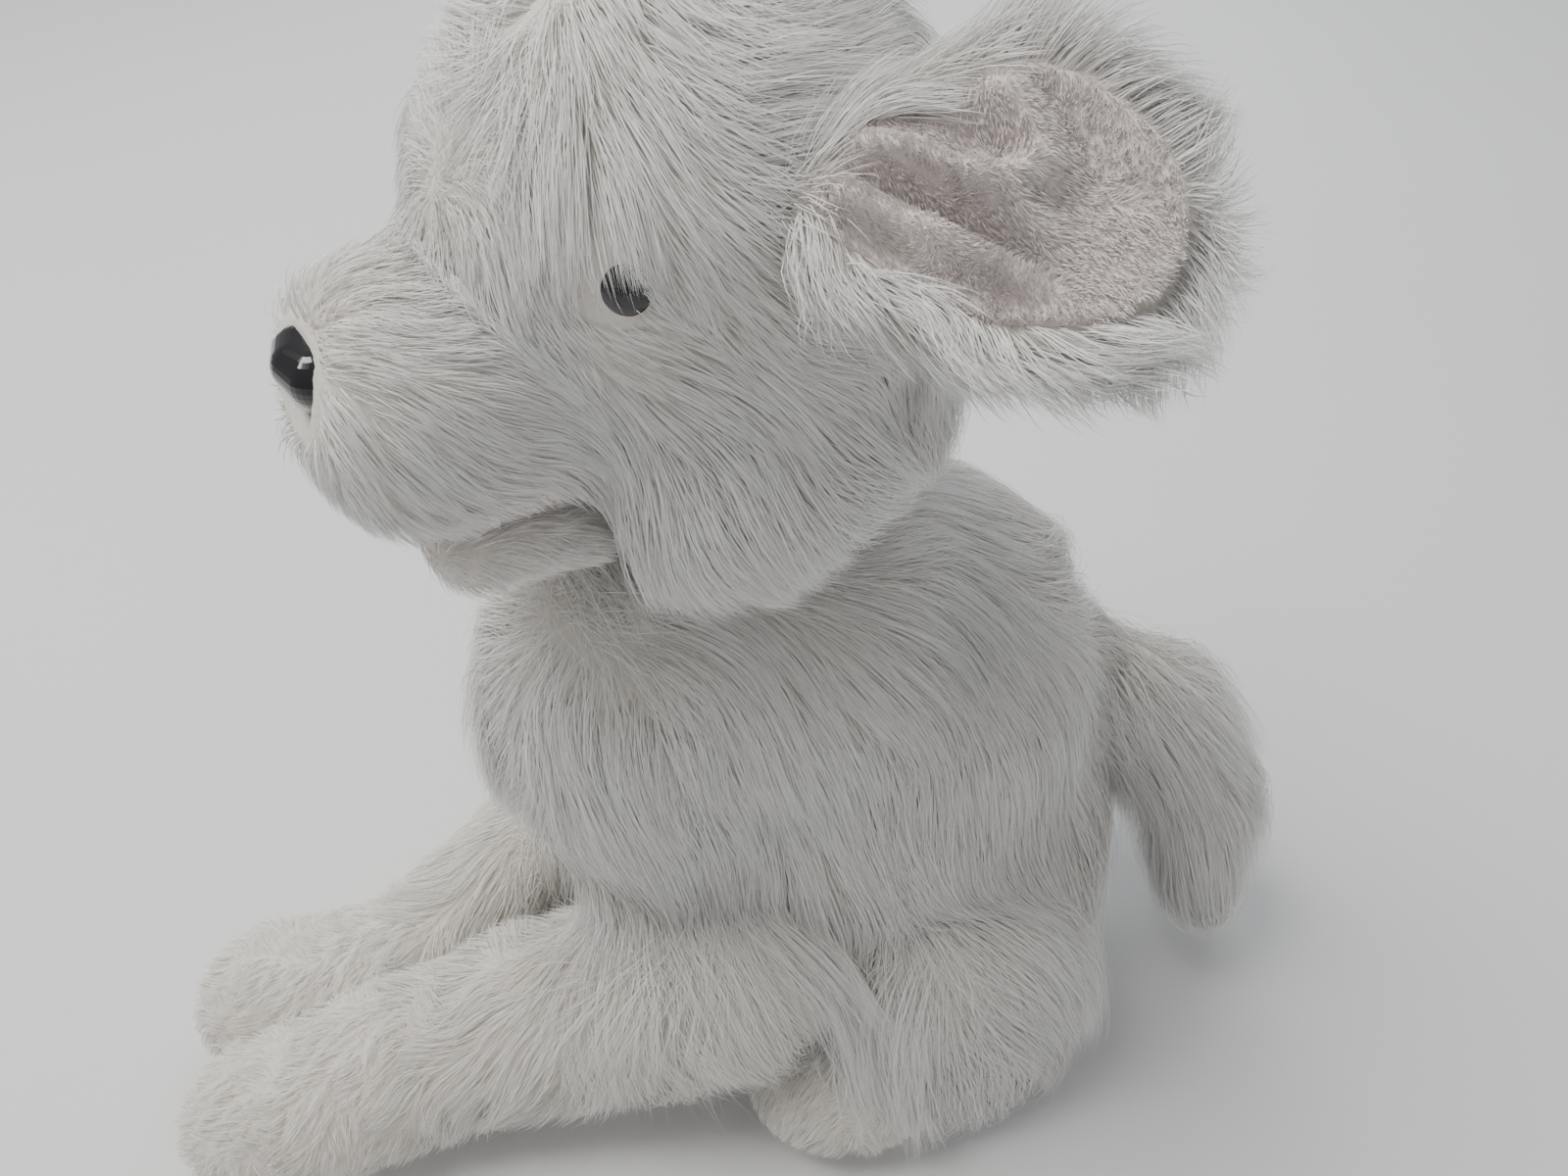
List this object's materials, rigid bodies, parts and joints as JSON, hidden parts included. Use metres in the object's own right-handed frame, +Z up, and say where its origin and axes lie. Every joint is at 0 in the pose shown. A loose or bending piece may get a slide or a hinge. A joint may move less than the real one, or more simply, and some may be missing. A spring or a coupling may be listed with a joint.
{
  "type": "interactive plush pet",
  "caption": "Lying long-haired plush puppy with a turning head, opening mouth, swivelling ears, wagging tail, lifting forelegs and a battery hatch in its belly.",
  "frame": {"origin": "middle of the overall box, on the table the pet lies on", "axes": "+Z up, the pet faces -Y, its left side is +X"},
  "size_m": [0.2008, 0.3438, 0.3217],
  "materials": {
    "plush_fur": "long pile",
    "paw_fur": "short pile",
    "ear_velour": "brushed",
    "mouth_fabric": "matte",
    "tongue_fabric": "brushed",
    "bead_black": "polished",
    "case_plastic": "moulded",
    "door_plastic": "moulded",
    "switch_plastic": "moulded",
    "gear_plastic": "moulded",
    "board": "solder mask",
    "motor_steel": "satin",
    "screw_steel": "zinc plated",
    "contact_metal": "bright",
    "speaker_black": "paper cone",
    "cell_jacket": "sleeved"
  },
  "bodies": {
    "torso": {"torso_shell_left": "case_plastic", "torso_shell_right": "case_plastic", "torso_screws": "screw_steel", "torso_plush": "plush_fur", "hind_leg_left": "paw_fur", "hind_leg_right": "paw_fur", "battery_tray": "case_plastic", "battery_cells": "cell_jacket", "battery_contacts": "contact_metal", "circuit_board": "board", "speaker": "speaker_black", "neck_motor": "motor_steel", "tail_motor": "motor_steel", "tail_bracket": "case_plastic"},
    "battery_hatch": {"battery_door": "door_plastic", "battery_door_screw": "screw_steel"},
    "power_switch": {"power_switch_knob": "switch_plastic"},
    "touch_button": {"back_touch_button": "switch_plastic"},
    "neck": {"neck_turntable": "gear_plastic"},
    "neck_drive": {"neck_pinion": "gear_plastic"},
    "head": {"skull_left": "case_plastic", "skull_right": "case_plastic", "head_screws": "screw_steel", "head_plush": "plush_fur", "nose": "bead_black", "eye_left": "bead_black", "eye_right": "bead_black", "mouth_lining": "mouth_fabric", "jaw_motor": "motor_steel", "jaw_hinge_pin": "screw_steel"},
    "jaw": {"jaw_frame": "case_plastic", "jaw_plush": "plush_fur", "tongue": "tongue_fabric"},
    "ear_left": {"ear_left_frame": "case_plastic", "ear_left_plush": "plush_fur", "ear_left_lining": "ear_velour"},
    "ear_right": {"ear_right_frame": "case_plastic", "ear_right_plush": "plush_fur", "ear_right_lining": "ear_velour"},
    "tail": {"tail_core": "case_plastic", "tail_plush": "plush_fur"},
    "foreleg_left": {"foreleg_left_arm": "case_plastic", "foreleg_left_plush": "paw_fur"},
    "foreleg_right": {"foreleg_right_arm": "case_plastic", "foreleg_right_plush": "paw_fur"}
  },
  "joints": [
    {"name": "neck_turn", "type": "hinge", "parent": "torso", "child": "neck", "pos_m": [0, 0.002, 0.154], "axis": [0, 0, 1], "range_deg": [-51, 9]},
    {"name": "neck_pinion_spin", "type": "hinge", "parent": "torso", "child": "neck_drive", "pos_m": [0, 0.0239, 0.15], "axis": [0, 0, 1], "range_deg": [-20, 104]},
    {"name": "head_nod", "type": "hinge", "parent": "neck", "child": "head", "pos_m": [0, 0.002, 0.215], "axis": [-0.9336, -0.3584, 0], "range_deg": [-8, 12]},
    {"name": "jaw_open", "type": "hinge", "parent": "head", "child": "jaw", "pos_m": [0.00573, -0.01294, 0.224], "axis": [0.9336, 0.3584, 0], "range_deg": [0, 16]},
    {"name": "ear_left_swivel", "type": "hinge", "parent": "head", "child": "ear_left", "pos_m": [0.03814, 0.01985, 0.294], "axis": [0.7542, 0.353, 0.5537], "range_deg": [-15, 15]},
    {"name": "ear_right_swivel", "type": "hinge", "parent": "head", "child": "ear_right", "pos_m": [-0.04029, -0.01025, 0.294], "axis": [-0.7967, -0.2423, 0.5537], "range_deg": [-15, 15]},
    {"name": "tail_wag", "type": "hinge", "parent": "torso", "child": "tail", "pos_m": [0, 0.118, 0.104], "axis": [0, 0, 1], "range_deg": [-20, 20]},
    {"name": "foreleg_left_lift", "type": "hinge", "parent": "torso", "child": "foreleg_left", "pos_m": [0.038, 0, 0.054], "axis": [-1, 0, 0], "range_deg": [0, 30]},
    {"name": "foreleg_right_lift", "type": "hinge", "parent": "torso", "child": "foreleg_right", "pos_m": [-0.038, 0, 0.054], "axis": [-1, 0, 0], "range_deg": [0, 30]},
    {"name": "battery_door_lift_out", "type": "slide", "parent": "torso", "child": "battery_hatch", "axis": [0, 0, -1], "range_m": [0, 0.03]},
    {"name": "power_switch_slide", "type": "slide", "parent": "torso", "child": "power_switch", "axis": [1, 0, 0], "range_m": [0, 0.004]},
    {"name": "back_touch_press", "type": "slide", "parent": "torso", "child": "touch_button", "axis": [0, 0, -1], "range_m": [0, 0.002], "stiffness_N_per_m": 400}
  ],
  "couplings": [
    {"joint": "neck_pinion_spin", "follows": "neck_turn", "ratio": -2}
  ]
}
